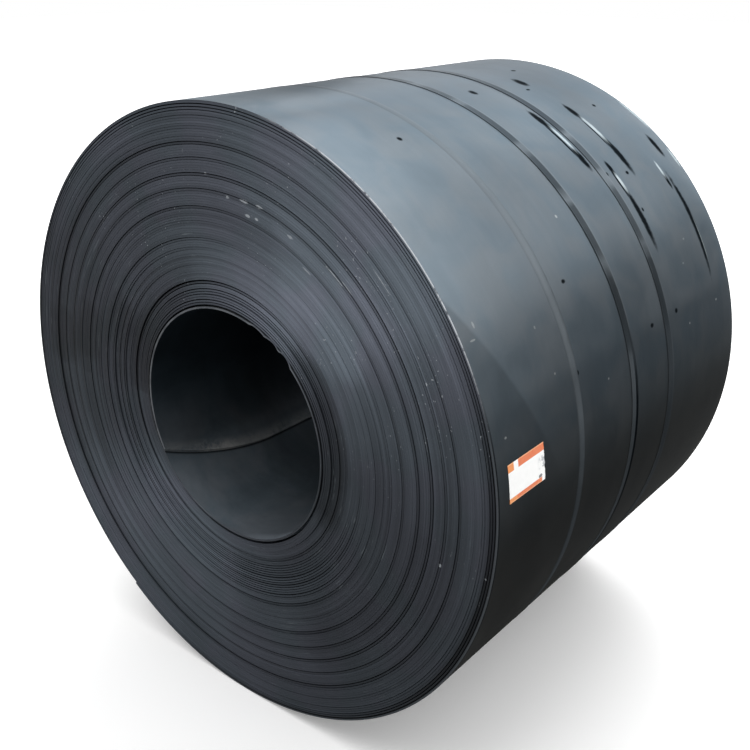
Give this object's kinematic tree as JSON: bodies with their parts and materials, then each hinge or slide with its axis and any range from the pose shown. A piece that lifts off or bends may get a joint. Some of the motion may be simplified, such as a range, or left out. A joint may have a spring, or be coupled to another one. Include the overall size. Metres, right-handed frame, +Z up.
{
  "type": "steel coil",
  "caption": "Hot-rolled steel coil lying on its side: strip wound into a thick-walled cylinder with an open bore, held by flat straps, with a blank paper label.",
  "frame": {"origin": "centre of the bottom of the bounding box, where the middle of the straps touches the floor", "axes": "+Z up, +Y along the coil's axis from the front end to the back end, +X to the right as seen from the front end"},
  "size_m": [1.6021, 1.261, 1.6021],
  "materials": {
    "hot_rolled_steel": "dark blue-grey mill scale with a satin sheen",
    "strapping_steel": "dark blued strapping steel, slightly worn",
    "label_paper": "matt white paper with an orange bar along the top and the bottom"
  },
  "bodies": {
    "root": {"coil": "hot_rolled_steel", "strap_front": "strapping_steel", "strap_middle": "strapping_steel", "strap_rear": "strapping_steel", "seal_front": "strapping_steel", "seal_middle": "strapping_steel", "seal_rear": "strapping_steel", "label": "label_paper"}
  },
  "joints": []
}
